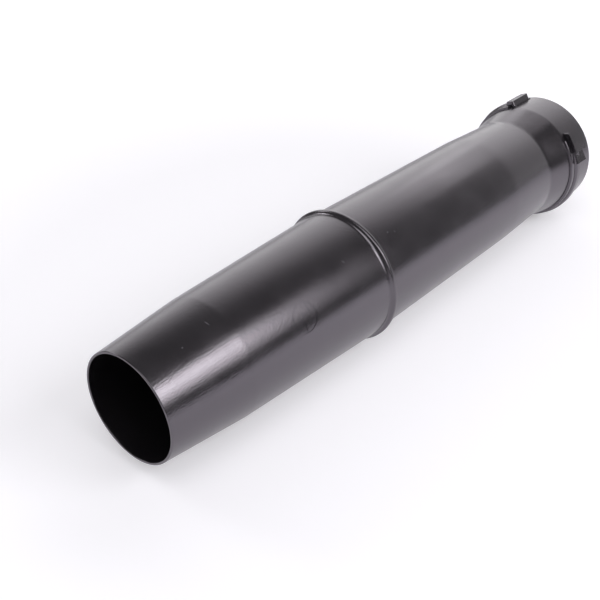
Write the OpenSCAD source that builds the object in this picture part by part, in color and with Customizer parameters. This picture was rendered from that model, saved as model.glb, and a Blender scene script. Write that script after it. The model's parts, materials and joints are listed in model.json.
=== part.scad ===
/* [Tube] */
// Length from the mouth to the open end of the collar
tube_length = 489; // [460:1:540]
// Thickness of the wall, square to the axis
wall = 1.8; // [1.2:0.1:2.4]
// Outside diameter at the mouth
mouth_d = 80; // [70:0.5:88]
// Length of the steep taper behind the mouth
nozzle_length = 68; // [40:1:100]
// Outside diameter where the steep taper ends
nozzle_d = 91; // [86:0.5:96]
// Outside diameter in front of the mid ring
front_d = 99; // [94:0.5:100]
// Outside diameter behind the mid ring
rear_d = 97.6; // [94:0.1:100]
// Outside diameter where the body starts to narrow to the waist
neck_d = 93.5; // [90:0.5:98]
// Length over which the body narrows to the waist
neck_length = 55.5; // [30:0.5:80]
// Outside diameter of the waist in front of the flare
waist_d = 88; // [84:0.5:94]
// Length of the flare between the waist and the collar
flare_length = 25.5; // [16:0.5:40]

/* [Mid ring] */
// Distance from the mouth to the front of the ring
ring_at = 202; // [150:0.5:260]
// Outside diameter of the ring
ring_d = 104; // [102:0.5:110]
// Width of the ring where it meets the body
ring_width = 6.3; // [5.4:0.1:10]
// Slope of each flank of the ring, along the axis
ring_flank = 1.9; // [0.5:0.1:1.9]
// Rounding of the hollow where the ring meets the body
ring_fillet = 1.3; // [0.4:0.1:1.6]

/* [Collar] */
// Length of the straight collar
collar_length = 32; // [28:0.5:45]
// Outside diameter of the collar
collar_d = 97.3; // [94:0.1:100]
// Thickness of the collar's wall
collar_wall = 2; // [1.4:0.1:2.6]

/* [Stop rib] */
// Length of collar left free behind the rib, where the next tube seats
seat_length = 21.5; // [20:0.5:26]
// Width of the whole rib, along the axis
rib_width = 12; // [10:0.5:16]
// Height of the rib above the collar
rib_height = 3.35; // [2.5:0.05:6]
// Width of the low step along the front of the rib
step_width = 4.8; // [2.5:0.1:6]
// Height of the low step above the collar
step_height = 1.8; // [0.6:0.1:2.2]
// Slope of the front faces of the rib and of its step, along the axis
rib_lead = 0.5; // [0.2:0.1:1.3]
// Angle at which the low step begins, from the top of the tube
step_from = 51; // [47:1:62]
// Angle at which the rib begins, from the top of the tube
rib_from = 64; // [60:1:70]
// Angle at which the rib and its step end, from the top of the tube
rib_to = 337; // [325:1:342]

/* [Latch lug] */
// Height of the lug above the collar
latch_height = 5.3; // [4:0.1:6]
// Length of the lug, along the axis
latch_length = 16; // [12:0.5:20]
// Width of the lug, around the collar
latch_width = 18.5; // [14:0.5:22]
// Radius of the lug's large round corner
latch_round = 13; // [4:0.5:14]
// Angle of the lug's straight side, from the top of the tube
latch_at = 65.5; // [62:0.5:70]

/* [Grip pad] */
// Direction that the pad's flat top faces, from the top of the tube
pad_faces = 57; // [52:1:62]
// Height of the pad's flat top above the axis of the tube
pad_top = 50.8; // [50:0.1:52]
// Distance from the front of the full rib to the front of the pad
pad_setback = 1.5; // [1:0.1:4]
// Length of the pad, along the axis
pad_length = 12.5; // [8:0.5:16]
// Depth of the grooves between the pad's ridges
pad_groove = 0.4; // [0.2:0.1:0.8]
// Number of ridges
pad_ridges = 5; // [2:1:6]
// Angle at which the pad ends, from the top of the tube
pad_to = 76; // [74:0.5:82]

/* [Stop lug] */
// Height of the bar above the collar
bar_height = 5; // [3.5:0.1:6]
// Length of the bar, along the axis
bar_length = 24.5; // [18:0.5:28]
// Width of the bar, around the collar
bar_width = 7; // [4:0.5:10]
// Distance that each side of the bar leans out, from its top to its base
bar_flare = 0.8; // [0.2:0.1:2]
// Height of the low foot that carries the bar
foot_height = 0.7; // [0.4:0.1:2]
// Distance that the foot stands out beside the bar
foot_margin = 1; // [0.6:0.1:3]
// Angle of the middle of the bar, from the top of the tube
bar_at = -23.5; // [-32:0.5:-20]

/* [Edges] */
// Rounding of the rims at both ends
rim_round = 0.6; // [0.2:0.1:0.8]
// Rounding of the ring, the rib and the step
crest_round = 0.7; // [0.2:0.1:0.9]
// Length that a soft bend between two tapers takes on each side
bend_reach = 4; // [1:0.5:8]
// Rounding of the lugs' upright corners
lug_round = 1.5; // [0.4:0.1:2]
// Rounding of the edges along the lugs' tops
lug_edge = 1; // [0.3:0.1:1.4]

/* [Hidden] */

$fn = 96;

// Largest turn between two neighbouring points of a rounded corner
arc_step = 15;
// Largest step across the section that rounds the top edges of a lug
section_step = 3;
// How far that section stays above the lug's top, so that it cuts only the edges
section_slack = 0.06;
// How far the ribs and lugs are rooted in the collar's wall
root = collar_wall / 2;

collar_r = collar_d / 2;
bore_r = collar_r - collar_wall;
rib_r = collar_r + rib_height;
root_r = collar_r - root;

// Places along the axis, counted from the mouth
collar_at = tube_length - collar_length;
waist_at = collar_at - flare_length;
neck_at = waist_at - neck_length;
rib_back = tube_length - seat_length;
rib_front = rib_back - rib_width;
step_back = rib_front + step_width;
ring_back = ring_at + ring_width;

// The tube lies on its ring and its rib, whichever is larger
axis_height = max(ring_d / 2, rib_r);

// A direction of length one
function unit(v) = v / norm(v);

// A point on a circle
function on_circle(centre, radius, angle) =
    centre + radius * [cos(angle), sin(angle)];

// The corner at b between a and c, rounded over the length reach on both legs
function corner(a, b, c, reach) =
    let (
        u = unit(a - b),
        v = unit(c - b),
        half = acos(max(-1, min(1, u * v))) / 2
    )
    reach == 0 || half > 89.9 ? [b] :
    let (
        centre = b + unit(u + v) * reach / cos(half),
        radius = reach * tan(half),
        from = b + u * reach - centre,
        to = b + v * reach - centre,
        start = atan2(from.y, from.x),
        turn = atan2(from.x * to.y - from.y * to.x, from * to),
        steps = max(2, ceil(abs(turn) / arc_step))
    )
    [for (i = [0:steps]) on_circle(centre, radius, start + turn * i / steps)];

// A closed outline through points [x, y, reach], each corner rounded over its reach
function rounded(points) =
    let (n = len(points), xy = [for (p = points) [p.x, p.y]])
    [for (i = [0:n - 1])
        each corner(xy[(i + n - 1) % n], xy[i], xy[(i + 1) % n], points[i].z)];

// Turns an outline of [place along the axis, radius] round the axis, which is +X.
// Angles count from the top of the tube towards -Y.
module revolve(outline, from = 0, to = 360) {
    rotate([180 + from, 0, 0])
        rotate([0, 90, 0])
            rotate_extrude(angle = to - from)
                polygon([for (p = outline) [p.y, p.x]]);
}

// Height above the axis of a point at y on a circle of radius r
function height_at(r, y) = sqrt(r * r - y * y);

// The section across a lug whose top reaches from y = from to y = to and follows the collar,
// with its two top edges rounded. Its sides lean out by flare at the collar.
function lug_section(top_r, from, to, flare) =
    let (steps = ceil((to - from) / section_step), foot = [from - flare, to + flare])
    rounded([
        [foot[0], 0, 0],
        if (flare > 0) [foot[0], height_at(collar_r, foot[0]), 0],
        for (i = [0:steps])
            let (y = from + (to - from) * i / steps)
            [y, height_at(top_r, y), i == 0 || i == steps ? lug_edge : 0],
        if (flare > 0) [foot[1], height_at(collar_r, foot[1]), 0],
        [foot[1], 0, 0]
    ]);

// Stands a lug on the collar, square to its surface at y = 0. The children are its outline
// from above: x runs along the tube from step_back, and y runs round it, against the angle.
module lug(height, angle, length, from, to, flare = 0) {
    top_r = collar_r + height;
    rotate([angle, 0, 0])
        intersection() {
            linear_extrude(top_r)
                children();
            revolve(rounded([
                [step_back, root_r, 0],
                [step_back, top_r, lug_edge],
                [step_back + length, top_r, lug_edge],
                [step_back + length, root_r, 0]
            ]));
            rotate([90, 0, 90])
                linear_extrude(tube_length)
                    polygon(lug_section(top_r + section_slack, from, to, flare));
        }
}

// Outside and inside of the wall in one outline, from the mouth to the collar and back
module tube_shell() {
    revolve(rounded([
        [0, mouth_d / 2, rim_round],
        [nozzle_length, nozzle_d / 2, bend_reach],
        [ring_at, front_d / 2, ring_fillet],
        [ring_at + ring_flank, ring_d / 2, crest_round],
        [ring_back - ring_flank, ring_d / 2, crest_round],
        [ring_back, rear_d / 2, ring_fillet],
        [neck_at, neck_d / 2, bend_reach],
        [waist_at, waist_d / 2, bend_reach / 2],
        [collar_at, collar_r, bend_reach / 2],
        [tube_length, collar_r, rim_round],
        [tube_length, bore_r, rim_round],
        [collar_at, bore_r, 0],
        [waist_at, waist_d / 2 - wall, bend_reach / 2],
        [neck_at, neck_d / 2 - wall, bend_reach],
        [ring_back, rear_d / 2 - wall, crest_round],
        [ring_at, front_d / 2 - wall, crest_round],
        [nozzle_length, nozzle_d / 2 - wall, bend_reach],
        [0, mouth_d / 2 - wall, rim_round]
    ]));
}

// A low step and the full rib behind it, which stop the next tube on the collar
module stop_rib() {
    step_r = collar_r + step_height;
    revolve(rounded([
        [rib_front, root_r, 0],
        [rib_front + rib_lead, step_r, crest_round / 2],
        [step_back + root, step_r, 0],
        [step_back + root, root_r, 0]
    ]), step_from, rib_to);
    revolve(rounded([
        [step_back, root_r, 0],
        [step_back + rib_lead, rib_r, crest_round],
        [rib_back, rib_r, crest_round],
        [rib_back, root_r, 0]
    ]), rib_from, rib_to);
}

// The lug at the start of the rib, a quarter-round block with one large corner
module latch_lug() {
    lug(latch_height, latch_at, latch_length, 0, latch_width)
        polygon(rounded([
            [step_back, 0, lug_round / 2],
            [step_back + latch_length, 0, lug_round],
            [step_back + latch_length, latch_width, latch_round],
            [step_back, latch_width, lug_round]
        ]));
}

// A flat ridged pad across the rib and behind it, next to the latch lug. V-shaped grooves
// part its ridges.
module grip_pad() {
    front = step_back + pad_setback;
    pitch = pad_length / pad_ridges;
    low = root_r * cos(pad_to - pad_faces) - root;
    near = pad_top * tan(latch_at - pad_faces);
    far = pad_top * tan(pad_to - pad_faces);
    grooves = [for (i = [1:pad_ridges - 1]) each [
        [front + pitch * i - pad_groove, pad_top],
        [front + pitch * i, pad_top - pad_groove],
        [front + pitch * i + pad_groove, pad_top]
    ]];
    outline = concat([[front, low], [front, pad_top]], grooves,
        [[front + pad_length, pad_top], [front + pad_length, low]]);
    difference() {
        rotate([90 + pad_faces, 0, 0])
            translate([0, 0, near])
                linear_extrude(far - near)
                    polygon(outline);
        rotate([0, 90, 0])
            cylinder(h = tube_length, r = root_r);
    }
}

// One block of the stop lug, its middle at the angle bar_at
module stop_block(height, length, width, flare) {
    side = width / 2 + flare;
    lug(height, bar_at, length, -width / 2, width / 2, flare)
        polygon(rounded([
            [step_back, -side, lug_round + flare],
            [step_back + length, -side, lug_round + flare],
            [step_back + length, side, lug_round + flare],
            [step_back, side, lug_round + flare]
        ]));
}

// The lug at the end of the rib, a bar along the tube on a low foot
module stop_lug() {
    stop_block(bar_height, bar_length, bar_width, bar_flare);
    stop_block(foot_height, bar_length + foot_margin, bar_width + 2 * (bar_flare + foot_margin), 0);
}

// The whole tube is one moulding, lying on its side with the mouth towards -X
module nozzle_tube() {
    color("#2c2a2d")
        translate([-tube_length / 2, 0, axis_height]) {
            tube_shell();
            stop_rib();
            latch_lug();
            grip_pad();
            stop_lug();
        }
}

nozzle_tube();
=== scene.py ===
import json
import math

import bpy
from mathutils import Matrix, Vector


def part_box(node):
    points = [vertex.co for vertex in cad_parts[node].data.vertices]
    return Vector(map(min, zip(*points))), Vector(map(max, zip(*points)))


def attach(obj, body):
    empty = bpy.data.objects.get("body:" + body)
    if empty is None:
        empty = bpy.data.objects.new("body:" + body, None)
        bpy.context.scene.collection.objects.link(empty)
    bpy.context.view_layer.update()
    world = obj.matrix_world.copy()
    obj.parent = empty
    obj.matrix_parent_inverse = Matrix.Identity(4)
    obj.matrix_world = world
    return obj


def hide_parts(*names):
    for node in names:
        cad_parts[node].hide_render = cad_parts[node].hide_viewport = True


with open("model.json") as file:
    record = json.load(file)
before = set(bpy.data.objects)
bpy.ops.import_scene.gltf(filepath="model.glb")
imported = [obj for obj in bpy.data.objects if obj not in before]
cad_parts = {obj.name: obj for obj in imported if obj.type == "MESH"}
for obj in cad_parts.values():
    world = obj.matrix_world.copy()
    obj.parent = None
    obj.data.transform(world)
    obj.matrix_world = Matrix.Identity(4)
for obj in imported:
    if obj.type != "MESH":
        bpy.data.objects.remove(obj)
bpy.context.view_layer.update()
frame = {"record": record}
mm = 0.001
nodeName = "nozzle_tube"
boxLow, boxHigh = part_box(nodeName)
mounts = {mount["name"]: mount for mount in frame["record"]["mounts"]}
mouthX = boxLow.x                                  # the mouth faces -X, the collar +X
axisZ = mounts["collar_bore"]["pos_m"][2]          # the tube's axis, above the floor
boreR = mounts["collar_bore"]["dims"]["r_mm"]
tubeLength = (boxHigh.x - boxLow.x) / mm
stopAt = (mounts["stop_face"]["pos_m"][0] - mouthX) / mm   # back of the rib, from the mouth
print("frame loaded: tube", round(tubeLength, 1), "mm long")


# Distances along the tube are counted from the mouth, in millimetres, and angles in
# degrees from the top of the tube towards -Y.

cornerSteps = 5                        # edges in a rounded corner of an outline
weldGap = 0.002                        # points closer than this are one
reachPast = 5.0                        # how far a cutting shape reaches past what it cuts


def deselect():
    if bpy.context.object and bpy.context.object.mode != "OBJECT":
        bpy.ops.object.mode_set(mode="OBJECT")
    bpy.ops.object.select_all(action="DESELECT")


def activate(piece):
    deselect()
    piece.select_set(True)
    bpy.context.view_layer.objects.active = piece


def editAll(piece):
    activate(piece)
    bpy.ops.object.mode_set(mode="EDIT")
    bpy.ops.mesh.select_mode(type="VERT")
    bpy.ops.mesh.select_all(action="SELECT")


def place(distance, radius):
    return Vector((mouthX + distance * mm, 0, axisZ + radius * mm))


def startOutline(name, corners):
    # corners are (distance, radius, reach): each is rounded over its reach on both sides
    points = [place(corner[0], corner[1]) for corner in corners]
    deselect()
    bpy.ops.mesh.primitive_plane_add(size=mm, location=points[0])
    piece = bpy.context.object
    piece.name = name
    bpy.ops.object.transform_apply(location=True, rotation=True, scale=True)
    editAll(piece)
    bpy.ops.mesh.merge(type="CENTER")
    for here, there in zip(points, points[1:]):
        bpy.ops.mesh.extrude_region_move(TRANSFORM_OT_translate={"value": there - here})
    bpy.ops.mesh.select_all(action="SELECT")
    bpy.ops.mesh.edge_face_add()
    for point, corner in zip(points, corners):
        if corner[2] > 0:
            roundCorner(piece, point, corner[2])
    return piece


def roundCorner(piece, point, reach):
    editAll(piece)
    bpy.ops.mesh.select_all(action="DESELECT")
    bpy.ops.object.mode_set(mode="OBJECT")
    nearest = min(piece.data.vertices, key=lambda vertex: (vertex.co - point).length)
    nearest.select = True
    bpy.ops.object.mode_set(mode="EDIT")
    bpy.ops.mesh.bevel(offset=reach * mm, segments=cornerSteps, affect="VERTICES",
                       clamp_overlap=False)
    bpy.ops.object.mode_set(mode="OBJECT")


def tidyMesh(piece):
    editAll(piece)
    bpy.ops.mesh.remove_doubles(threshold=weldGap * mm)
    bpy.ops.mesh.normals_make_consistent(inside=False)
    bpy.ops.object.mode_set(mode="OBJECT")


def turnRound(piece, startAngle, endAngle, steps):
    editAll(piece)
    centre = (0, 0, axisZ)
    wholeTurn = endAngle - startAngle == 360
    if startAngle:
        bpy.ops.transform.rotate(value=math.radians(-startAngle), orient_axis="X",
                                 center_override=centre)
    if wholeTurn:
        bpy.ops.mesh.delete(type="ONLY_FACE")
        bpy.ops.mesh.select_all(action="SELECT")
    bpy.ops.mesh.spin(steps=steps, angle=math.radians(endAngle - startAngle),
                      axis=(-1, 0, 0), center=centre)
    tidyMesh(piece)
    return piece


def swing(piece, angle):
    editAll(piece)
    bpy.ops.transform.rotate(value=math.radians(-angle), orient_axis="X",
                             center_override=(0, 0, axisZ))
    bpy.ops.object.mode_set(mode="OBJECT")


def applyModifier(piece, kind, **settings):
    activate(piece)
    modifier = piece.modifiers.new(kind.title(), kind)
    for key, value in settings.items():
        setattr(modifier, key, value)
    bpy.ops.object.modifier_apply(modifier=modifier.name)


def combine(piece, tool, operation):
    applyModifier(piece, "BOOLEAN", object=tool, operation=operation, solver="EXACT")
    bpy.data.objects.remove(tool)


def makeCore(start, startR, end, endR):
    # solid cone inside the wall, which keeps a cut or a pad from going deeper
    corners = [(start, 0, 0), (start, startR, 0), (end, endR, 0), (end, 0, 0)]
    return turnRound(startOutline("core", corners), 0, 360, shell["turnSteps"])


# Tube wall

shell = {
    "mouthR": 40.0, "wall": 1.8,
    "noseLength": 68.0, "noseR": 45.5,
    "frontR": 49.5, "rearR": 48.8,
    "ringAt": 202.0, "ringWidth": 6.3, "ringFlank": 1.9, "ringFillet": 1.3,
    "neckR": 46.75, "neckLength": 55.5,
    "waistR": 44.0, "flareLength": 25.5,
    "collarLength": 32.0, "collarWall": 2.0,
    "rimRound": 0.6, "crestRound": 0.7, "bend": 4.0, "noseBend": 1.0,
    "turnSteps": 256, "smoothBelow": 30,   # faces that meet below this angle look smooth
}
collarR = boreR + shell["collarWall"]
ringR = axisZ / mm                     # the tube lies on its ring and its rib
collarAt = tubeLength - shell["collarLength"]
waistAt = collarAt - shell["flareLength"]
neckAt = waistAt - shell["neckLength"]
ringBack = shell["ringAt"] + shell["ringWidth"]


def makeShell():
    s = shell
    piece = startOutline("nozzleTube", [
        (0, s["mouthR"], s["rimRound"]),
        (s["noseLength"], s["noseR"], s["noseBend"]),
        (s["ringAt"], s["frontR"], s["ringFillet"]),
        (s["ringAt"] + s["ringFlank"], ringR, s["crestRound"]),
        (ringBack - s["ringFlank"], ringR, s["crestRound"]),
        (ringBack, s["rearR"], s["ringFillet"]),
        (neckAt, s["neckR"], s["bend"]),
        (waistAt, s["waistR"], s["bend"] / 2),
        (collarAt, collarR, s["bend"] / 2),
        (tubeLength, collarR, s["rimRound"]),
        (tubeLength, boreR, s["rimRound"]),
        (collarAt, boreR, 0),
        (waistAt, s["waistR"] - s["wall"], s["bend"] / 2),
        (neckAt, s["neckR"] - s["wall"], s["bend"]),
        (ringBack, s["rearR"] - s["wall"], s["crestRound"]),
        (s["ringAt"], s["frontR"] - s["wall"], s["crestRound"]),
        (s["noseLength"], s["noseR"] - s["wall"], s["bend"]),
        (0, s["mouthR"] - s["wall"], s["rimRound"]),
    ])
    return turnRound(piece, 0, 360, s["turnSteps"])


# Stop rib, with its low step along the front

rib = {
    "width": 12.0, "stepWidth": 4.8, "stepHeight": 1.8,
    "lead": 0.5,                       # slope of the front faces, along the tube
    "crestRound": 2.4, "stepRound": 0.9,
    "stepFrom": 51, "from": 64, "to": 337,
    "root": 1.0,                       # depth in the collar's wall
    "turnSteps": 200,
}
ribFront = stopAt - rib["width"]
stepBack = ribFront + rib["stepWidth"]
rootR = collarR - rib["root"]


def makeStep():
    piece = startOutline("ribStep", [
        (ribFront, rootR, 0),
        (ribFront + rib["lead"], collarR + rib["stepHeight"], rib["stepRound"]),
        (stepBack + rib["root"], collarR + rib["stepHeight"], 0),
        (stepBack + rib["root"], rootR, 0),
    ])
    return turnRound(piece, rib["stepFrom"], rib["to"], rib["turnSteps"])


def makeRib():
    piece = startOutline("rib", [
        (stepBack, rootR, 0),
        (stepBack + rib["lead"], ringR, rib["crestRound"]),
        (stopAt, ringR, shell["crestRound"]),
        (stopAt, rootR, 0),
    ])
    return turnRound(piece, rib["from"], rib["to"], rib["turnSteps"])


# Lugs: blocks with straight sides and a top that follows the collar

lugs = {
    "latch": {"height": 5.3, "length": 16.0, "width": 18.5, "corner": 13.0, "angle": 65.5},
    "bar": {"height": 5.0, "length": 24.5, "width": 7.0, "flare": 0.8, "angle": -23.5},
    "foot": {"height": 0.7, "margin": 1.0},
    "upright": 1.5, "edge": 1.4,       # rounding of the upright corners and of the top edges
    "uprightSteps": 8, "edgeSteps": 4, "sharpAngle": 50,
}


def selectUprights(piece, wanted):
    # edges up the lug's corners, named by the signs of x and y from its middle
    editAll(piece)
    bpy.ops.mesh.select_mode(type="EDGE")
    bpy.ops.mesh.select_all(action="DESELECT")
    bpy.ops.object.mode_set(mode="OBJECT")
    corners = piece.data.vertices
    middle = sum((vertex.co for vertex in corners), Vector()) / len(corners)
    for edge in piece.data.edges:
        a, b = (corners[i].co for i in edge.vertices)
        upright = abs(a.z - b.z) > rootR * mm
        side = ((a.x > middle.x), (a.y > middle.y))
        edge.select = upright and side in wanted
    bpy.ops.object.mode_set(mode="EDIT")


def makeLug(name, height, length, lowY, highY, uprights, flare=0):
    # uprights: (rounding, corners), the corners as (at the back, at +Y)
    # flare: how far each side leans out, from the top down to the collar
    topR = collarR + height
    deselect()
    size = Vector((length, highY - lowY, topR)) * mm
    middle = place(stepBack + length / 2, topR / 2) + Vector((0, (lowY + highY) / 2 * mm, 0))
    bpy.ops.mesh.primitive_cube_add(size=1, location=middle, scale=size)
    piece = bpy.context.object
    piece.name = name
    bpy.ops.object.transform_apply(location=True, rotation=True, scale=True)
    if flare:
        editAll(piece)
        bpy.ops.mesh.select_all(action="DESELECT")
        bpy.ops.object.mode_set(mode="OBJECT")
        for vertex in piece.data.vertices:
            vertex.select = vertex.co.z < middle.z
        bpy.ops.object.mode_set(mode="EDIT")
        spread = 1 + 2 * flare * topR / height / (highY - lowY)
        bpy.ops.transform.resize(value=(1, spread, 1), center_override=middle)
        bpy.ops.object.mode_set(mode="OBJECT")
    for rounding, corners in uprights:
        selectUprights(piece, corners)
        bpy.ops.mesh.bevel(offset=rounding * mm, segments=lugs["uprightSteps"], affect="EDGES",
                           clamp_overlap=False)
        bpy.ops.object.mode_set(mode="OBJECT")
    start, end = stepBack - reachPast, stepBack + length + reachPast
    sleeve = startOutline("sleeve", [
        (start, topR, 0), (end, topR, 0), (end, rootR, 0), (start, rootR, 0),
    ])
    combine(piece, turnRound(sleeve, 0, 360, 2 * shell["turnSteps"]), "INTERSECT")
    applyModifier(piece, "BEVEL", width=lugs["edge"] * mm, segments=lugs["edgeSteps"],
                  limit_method="ANGLE", angle_limit=math.radians(lugs["sharpAngle"]))
    return piece


def makeLatch():
    lug = lugs["latch"]
    tight, usual = lugs["upright"] / 2, lugs["upright"]
    piece = makeLug("latch", lug["height"], lug["length"], 0, lug["width"], [
        (tight, [(False, False)]),
        (usual, [(True, False), (False, True)]),
        (lug["corner"], [(True, True)]),
    ])
    swing(piece, lug["angle"])
    return piece


def makeBarBlock(name, height, length, width, flare=0):
    allCorners = [(back, side) for back in (False, True) for side in (False, True)]
    piece = makeLug(name, height, length, -width / 2, width / 2,
                    [(lugs["upright"], allCorners)], flare)
    swing(piece, lugs["bar"]["angle"])
    return piece


# Flat ridged pad across the rib and behind it, next to the latch lug

pad = {
    "faces": 57, "top": 50.8,          # where its top faces, and its height above the axis
    "setback": 1.5, "length": 12.5, "to": 76,
    "ridges": 5, "groove": 0.4,
}


def makePad():
    front, top = stepBack + pad["setback"], pad["top"]
    pitch = pad["length"] / pad["ridges"]
    low = rootR - reachPast
    near, far = (-top * math.tan(math.radians(angle - pad["faces"])) * mm
                 for angle in (lugs["latch"]["angle"], pad["to"]))
    corners = [(front, low, 0), (front, top, 0)]
    for i in range(1, pad["ridges"]):
        corners += [
            (front + pitch * i - pad["groove"], top, 0),
            (front + pitch * i, top - pad["groove"], 0),
            (front + pitch * i + pad["groove"], top, 0),
        ]
    corners += [(front + pad["length"], top, 0), (front + pad["length"], low, 0)]
    piece = startOutline("pad", corners)
    editAll(piece)
    bpy.ops.transform.translate(value=(0, near, 0))
    bpy.ops.mesh.extrude_region_move(TRANSFORM_OT_translate={"value": (0, far - near, 0)})
    tidyMesh(piece)
    swing(piece, pad["faces"])
    combine(piece, makeCore(stepBack - reachPast, rootR, tubeLength, rootR), "DIFFERENCE")
    return piece


# Round mould mark in front of the ring: a shallow ring groove and a pointer

mark = {
    "at": 120.5, "angle": 57.8, "diameter": 20.3, "line": 0.9, "depth": 0.4,
    "pointerFrom": 2.6, "pointerTo": 9.9, "pointerOffset": -1.9,
    "turnSteps": 128, "height": 30,    # of the cutting shapes, which stand through the wall
}


def makeDisc(name, diameter, height):
    deselect()
    bpy.ops.mesh.primitive_cylinder_add(vertices=mark["turnSteps"], radius=diameter / 2 * mm,
                                        depth=height * mm, location=place(mark["at"], ringR))
    piece = bpy.context.object
    piece.name = name
    bpy.ops.object.transform_apply(location=True, rotation=True, scale=True)
    return piece


def makeMark():
    diameter, line, height = mark["diameter"], mark["line"], mark["height"]
    ring = makeDisc("markRing", diameter + line, height)
    combine(ring, makeDisc("markCore", diameter - line, height + 2 * reachPast), "DIFFERENCE")
    deselect()
    start, end = mark["pointerFrom"], mark["pointerTo"]
    centre = place(mark["at"], ringR)
    centre += Vector((mark["pointerOffset"], -(start + end) / 2, 0)) * mm
    bpy.ops.mesh.primitive_cube_add(size=1, location=centre,
                                    scale=Vector((line, end - start, height)) * mm)
    pointer = bpy.context.object
    bpy.ops.object.transform_apply(location=True, rotation=True, scale=True)
    combine(ring, pointer, "UNION")
    swing(ring, mark["angle"])
    kept = makeCore(shell["noseLength"], shell["noseR"] - mark["depth"],
                    shell["ringAt"], shell["frontR"] - mark["depth"])
    combine(ring, kept, "DIFFERENCE")
    return ring


def makeTube():
    piece = makeShell()
    print("wall turned:", len(piece.data.polygons), "faces")
    bar, foot = lugs["bar"], lugs["foot"]
    additions = [
        makeStep(), makeRib(), makeLatch(), makePad(),
        makeBarBlock("bar", bar["height"], bar["length"], bar["width"], bar["flare"]),
        makeBarBlock("foot", foot["height"], bar["length"] + foot["margin"],
                     bar["width"] + 2 * (bar["flare"] + foot["margin"])),
    ]
    for addition in additions:
        combine(piece, addition, "UNION")
    print("rib, lugs and pad joined to the wall")
    combine(piece, makeMark(), "DIFFERENCE")
    print("mould mark cut")
    tidyMesh(piece)
    activate(piece)
    bpy.ops.object.shade_smooth_by_angle(angle=math.radians(shell["smoothBelow"]))
    applyModifier(piece, "WEIGHTED_NORMAL", keep_sharp=True, weight=50)
    return piece


tubePiece = makeTube()
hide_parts(nodeName)
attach(tubePiece, "root")


# Black satin plastic. Depths are in millimetres, scales are waves per metre along X, Y and Z.

plastic = {
    "name": "satinBlackPlastic",
    "colour": (0.009, 0.0082, 0.0095), "speckColour": (0.10, 0.095, 0.105),
    "tint": (0.98, 0.9, 1.0, 1.0), "ior": 2.12,
    "roughness": (0.19, 0.27), "patches": {"scale": (45, 45, 45), "detail": 3.0},
    "grain": {"scale": (850, 850, 850), "detail": 2.0, "depth": 0.08},
    "turned": {"scale": (950, 80, 80), "detail": 1.0, "depth": 0.02},
    "drawn": {"scale": (80, 1000, 1000), "detail": 1.0, "depth": 0.045},
    "drawnUntil": (20.0, 190.0),       # the lines along the tube fade out over this stretch
    "specks": {"scale": 70.0, "size": 0.018, "share": 0.25},
}
# Single scratches: place along the tube, angle, radius of the surface, half length and half
# width in millimetres, and the turn from the tube's direction
scratches = [
    {"at": 56.7, "angle": 19.0, "radius": 44.6, "size": (1.9, 0.3), "turn": -80},
    {"at": 32.1, "angle": 25.1, "radius": 42.6, "size": (0.5, 0.4), "turn": 0},
    {"at": 223.4, "angle": 34.9, "radius": 48.4, "size": (0.6, 0.4), "turn": 30},
    {"at": 229.6, "angle": 37.4, "radius": 48.3, "size": (0.7, 0.3), "turn": -60},
    {"at": 172.5, "angle": 36.3, "radius": 48.6, "size": (1.6, 0.2), "turn": -70},
]
scratchDepth = 3.0


def addNode(nodes, kind, operation=None, **values):
    node = nodes.new("ShaderNode" + kind)
    if operation:
        node.operation = operation
    for key, value in values.items():
        # i0, i1, i2 are inputs by number, "_" stands for a space in the others' names
        slot = int(key[1:]) if key[1:].isdigit() else key.replace("_", " ")
        node.inputs[slot].default_value = value
    return node


def addNoise(tree, coords, settings):
    stretch = addNode(tree.nodes, "VectorMath", "MULTIPLY", i1=settings["scale"])
    noise = addNode(tree.nodes, "TexNoise", Scale=1.0, Detail=settings["detail"])
    tree.links.new(coords, stretch.inputs[0])
    tree.links.new(stretch.outputs[0], noise.inputs["Vector"])
    return noise.outputs["Fac"]


def addScaled(tree, value, factor, plus=None):
    # factor and plus may be sockets or numbers
    node = addNode(tree.nodes, "Math", "MULTIPLY_ADD", i2=0.0)
    for slot, source in zip(node.inputs, (value, factor, plus)):
        if isinstance(source, (int, float)):
            slot.default_value = source
        elif source is not None:
            tree.links.new(source, slot)
    return node.outputs[0]


def addScratch(tree, coords, settings, plus):
    tilt = Matrix.Rotation(math.radians(settings["angle"]), 3, "X")
    turn = Matrix.Rotation(math.radians(settings["turn"]), 3, "Z")
    centre = place(settings["at"], 0) + tilt @ Vector((0, 0, settings["radius"] * mm))
    length, width = settings["size"]
    local = addNode(tree.nodes, "Mapping", Location=centre, Rotation=(tilt @ turn).to_euler(),
                    Scale=Vector((length, width, scratchDepth)) * mm)
    local.vector_type = "TEXTURE"
    tree.links.new(coords, local.inputs["Vector"])
    distance = addNode(tree.nodes, "VectorMath", "LENGTH")
    tree.links.new(local.outputs[0], distance.inputs[0])
    within = addNode(tree.nodes, "Math", "LESS_THAN", i1=1.0)
    tree.links.new(distance.outputs["Value"], within.inputs[0])
    return addScaled(tree, within.outputs[0], 1.0, plus)


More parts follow.
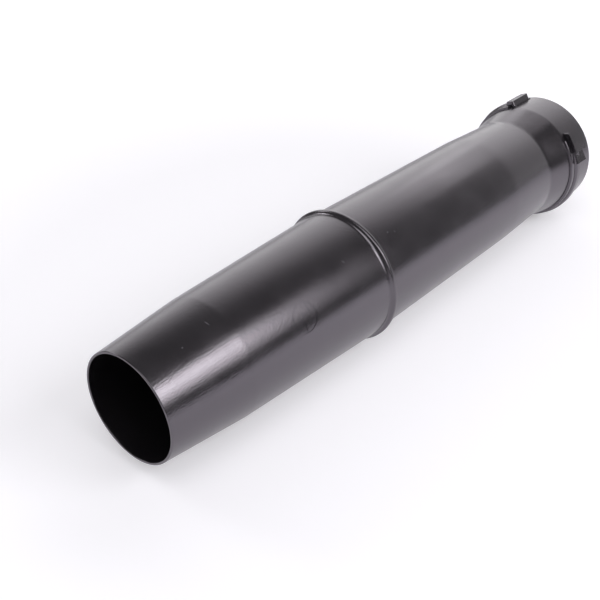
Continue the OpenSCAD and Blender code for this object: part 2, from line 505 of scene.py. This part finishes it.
def makePlastic():
    material = bpy.data.materials.new(plastic["name"])
    material.use_nodes = True
    tree = material.node_tree
    nodes, links = tree.nodes, tree.links
    shader = nodes["Principled BSDF"]
    coords = addNode(nodes, "TexCoord").outputs["Object"]
    grain, turned, drawn = (addNoise(tree, coords, plastic[name])
                            for name in ("grain", "turned", "drawn"))
    parts = addNode(nodes, "SeparateXYZ")
    links.new(coords, parts.inputs[0])
    start, end = (place(distance, 0).x for distance in plastic["drawnUntil"])
    fade = addNode(nodes, "MapRange", From_Min=start, From_Max=end,
                   To_Min=plastic["drawn"]["depth"], To_Max=0.0)
    links.new(parts.outputs["X"], fade.inputs["Value"])
    height = addScaled(tree, grain, plastic["grain"]["depth"])
    height = addScaled(tree, turned, plastic["turned"]["depth"], height)
    height = addScaled(tree, drawn, fade.outputs["Result"], height)
    bump = addNode(nodes, "Bump", Strength=1.0, Distance=mm)
    links.new(height, bump.inputs["Height"])
    links.new(bump.outputs["Normal"], shader.inputs["Normal"])

    # the noise lies between 0.25 and 0.75 nearly everywhere
    patches = addNoise(tree, coords, plastic["patches"])
    low, high = plastic["roughness"]
    links.new(addScaled(tree, patches, 2 * (high - low), low - (high - low) / 2),
              shader.inputs["Roughness"])

    specks = plastic["specks"]
    dots = addNode(nodes, "TexVoronoi", Scale=specks["scale"])
    links.new(coords, dots.inputs["Vector"])
    near = addNode(nodes, "Math", "LESS_THAN", i1=specks["size"])
    links.new(dots.outputs["Distance"], near.inputs[0])
    cell = addNode(nodes, "SeparateColor")
    links.new(dots.outputs["Color"], cell.inputs[0])
    chosen = addNode(nodes, "Math", "LESS_THAN", i1=specks["share"])
    links.new(cell.outputs[0], chosen.inputs[0])
    light = addScaled(tree, near.outputs[0], chosen.outputs[0])
    for settings in scratches:
        light = addScratch(tree, coords, settings, light)
    colour = addNode(nodes, "MixRGB", Color1=(*plastic["colour"], 1),
                     Color2=(*plastic["speckColour"], 1))
    links.new(light, colour.inputs["Fac"])
    links.new(colour.outputs[0], shader.inputs["Base Color"])
    shader.inputs["IOR"].default_value = plastic["ior"]
    shader.inputs["Specular Tint"].default_value = plastic["tint"]
    return material


tubePiece.data.materials.clear()
tubePiece.data.materials.append(makePlastic())
print("plastic made")


# Floor: white paper, which the photograph shows a little overexposed. "seen" and "mirrored" are
# that extra brightness, as a glow for the camera and for reflections, within and beyond "reach"
# from the tube's middle, in metres. The glow is painted light: it makes the floor lighter for the
# camera far from the tube, where the lamps reach less, and brighter in the tube's reflections
# near the tube. It lights nothing.

floor = {
    "size": 12.0, "colour": (0.85, 0.83, 0.885, 1.0), "roughness": 0.9,
    "seen": (0.32, 0.6), "mirrored": (0.3, 0.1), "reach": (0.3, 0.65),
}


def makeFloor():
    deselect()
    bpy.ops.mesh.primitive_plane_add(size=floor["size"], location=(0, 0, 0))
    piece = bpy.context.object
    piece.name = "floor"
    material = bpy.data.materials.new("paleFloor")
    material.use_nodes = True
    tree = material.node_tree
    shader = tree.nodes["Principled BSDF"]
    shader.inputs["Base Color"].default_value = floor["colour"]
    shader.inputs["Roughness"].default_value = floor["roughness"]
    shader.inputs["Specular IOR Level"].default_value = 0.0
    shader.inputs["Emission Color"].default_value = (1, 1, 1, 1)
    distance = addNode(tree.nodes, "VectorMath", "LENGTH")
    tree.links.new(addNode(tree.nodes, "TexCoord").outputs["Object"], distance.inputs[0])
    rays = addNode(tree.nodes, "LightPath")
    # painted light on the floor: the glow the camera sees grows away from the tube, and the glow
    # in reflections is strongest near it
    paintedFloorGlow = 0.0
    for kind, output in (("seen", "Is Camera Ray"), ("mirrored", "Is Glossy Ray")):
        amount = addNode(tree.nodes, "MapRange", From_Min=floor["reach"][0],
                         From_Max=floor["reach"][1], To_Min=floor[kind][0], To_Max=floor[kind][1])
        tree.links.new(distance.outputs["Value"], amount.inputs["Value"])
        paintedFloorGlow = addScaled(tree, amount.outputs["Result"], rays.outputs[output], paintedFloorGlow)
    tree.links.new(paintedFloorGlow, shader.inputs["Emission Strength"])
    piece.data.materials.append(material)


makeFloor()


# Lamps: compass direction from +X towards +Y and height above the floor in degrees, distance
# in metres from the aim, width and height in degrees as seen from there, and brightness

aim = (0, 0, 0.08)
flareAim = (0.2, 0, 0.1)
lamps = {
    "keyCore": {"towards": (-74, 39), "distance": 1.5, "spread": (14, 12), "bright": 1.8},
    "keyMiddle": {"towards": (-74, 38), "distance": 1.5, "spread": (26, 22), "bright": 2.1},
    "keyHalo": {"towards": (-82, 35), "distance": 1.5, "spread": (44, 34), "bright": 2.4},
    "flareTop": {"towards": (6, 53), "distance": 0.33, "spread": (34, 7), "bright": 1.2,
                 "aim": flareAim},
    "flareLeft": {"towards": (42, 36), "distance": 0.35, "spread": (14, 22), "bright": 0.6,
                  "aim": flareAim},
    "leftFill": {"towards": (100, 27), "distance": 4, "spread": (20, 18), "bright": 4.0},
    "topFill": {"towards": (-140, 62), "distance": 3, "spread": (46, 36), "bright": 2.0},
}


def makeLamp(name, settings):
    compass, height = (math.radians(angle) for angle in settings["towards"])
    data = bpy.data.lights.new(name, "AREA")
    data.shape = "RECTANGLE"
    data.size, data.size_y = (2 * settings["distance"] * math.tan(math.radians(angle / 2))
                              for angle in settings["spread"])
    data.energy = settings["bright"] * math.pi * data.size * data.size_y
    lamp = bpy.data.objects.new(name, data)
    bpy.context.scene.collection.objects.link(lamp)
    outward = Vector((math.cos(height) * math.cos(compass), math.cos(height) * math.sin(compass),
                      math.sin(height)))
    lamp.location = Vector(settings.get("aim", aim)) + settings["distance"] * outward
    lamp.rotation_euler = (-outward).to_track_quat("-Z", "Y").to_euler()
    lamp.visible_camera = False


for name, settings in lamps.items():
    makeLamp(name, settings)


# Studio round the table: a broad pale wall behind the tube that fades to its sides and its
# top, and a dim rest

studio = {
    "dim": 0.12, "wall": 1.75,
    "squash": (1.0, 1.0, 0.444),       # makes the wall's outline taller than wide
    "towards": (0.707, 0.319, -0.631),
    "fade": [(0.3, 0.0), (0.4, 0.2), (0.5, 0.56), (0.6, 0.78), (0.7, 0.85), (0.8, 1.0)],
}


def makeWorld():
    world = bpy.data.worlds.new("studio")
    bpy.context.scene.world = world
    world.use_nodes = True
    tree = world.node_tree
    nodes, links = tree.nodes, tree.links
    squash = addNode(nodes, "VectorMath", "MULTIPLY", i1=studio["squash"])
    level = addNode(nodes, "VectorMath", "NORMALIZE")
    nearness = addNode(nodes, "VectorMath", "DOT_PRODUCT", i1=studio["towards"])
    links.new(addNode(nodes, "TexCoord").outputs["Generated"], squash.inputs[0])
    links.new(squash.outputs[0], level.inputs[0])
    links.new(level.outputs[0], nearness.inputs[0])
    ramp = addNode(nodes, "ValToRGB")
    stops = ramp.color_ramp.elements
    while len(stops) < len(studio["fade"]):
        stops.new(0.5)
    for stop, (position, brightness) in zip(stops, studio["fade"]):
        stop.position = position
        stop.color = (brightness, brightness, brightness, 1)
    links.new(nearness.outputs["Value"], ramp.inputs["Fac"])
    background = nodes["Background"]
    background.inputs["Color"].default_value = (1, 1, 1, 1)
    links.new(addScaled(tree, ramp.outputs["Color"], studio["wall"], studio["dim"]),
              background.inputs["Strength"])


makeWorld()
print("floor, lamps and studio set")


# Camera, fitted to the photograph's frame of 600 x 600 pixels: its place and directions in
# the frame's metres, its lens in millimetres

view = {
    "place": (-0.5482, -0.4124, 0.4723),
    "right": (0.66389, -0.74783, 0.0),
    "up": (0.41786, 0.37096, 0.82933),
    "lens": 63.0, "sensor": 36.0,
    "shiftPixels": (-0.5, -1.5), "frame": 600,
    "clipStart": 0.05,
}


def makeCamera():
    data = bpy.data.cameras.new("camera")
    data.lens = view["lens"]
    data.sensor_width = view["sensor"]
    data.shift_x, data.shift_y = (pixels / view["frame"] for pixels in view["shiftPixels"])
    data.clip_start = view["clipStart"]
    camera = bpy.data.objects.new("camera", data)
    bpy.context.scene.collection.objects.link(camera)
    right, up = Vector(view["right"]).normalized(), Vector(view["up"]).normalized()
    turn = Matrix((right, up, right.cross(up))).transposed()
    camera.matrix_world = Matrix.Translation(view["place"]) @ turn.to_4x4()
    bpy.context.scene.camera = camera


makeCamera()
bpy.context.scene.view_settings.view_transform = "Standard"
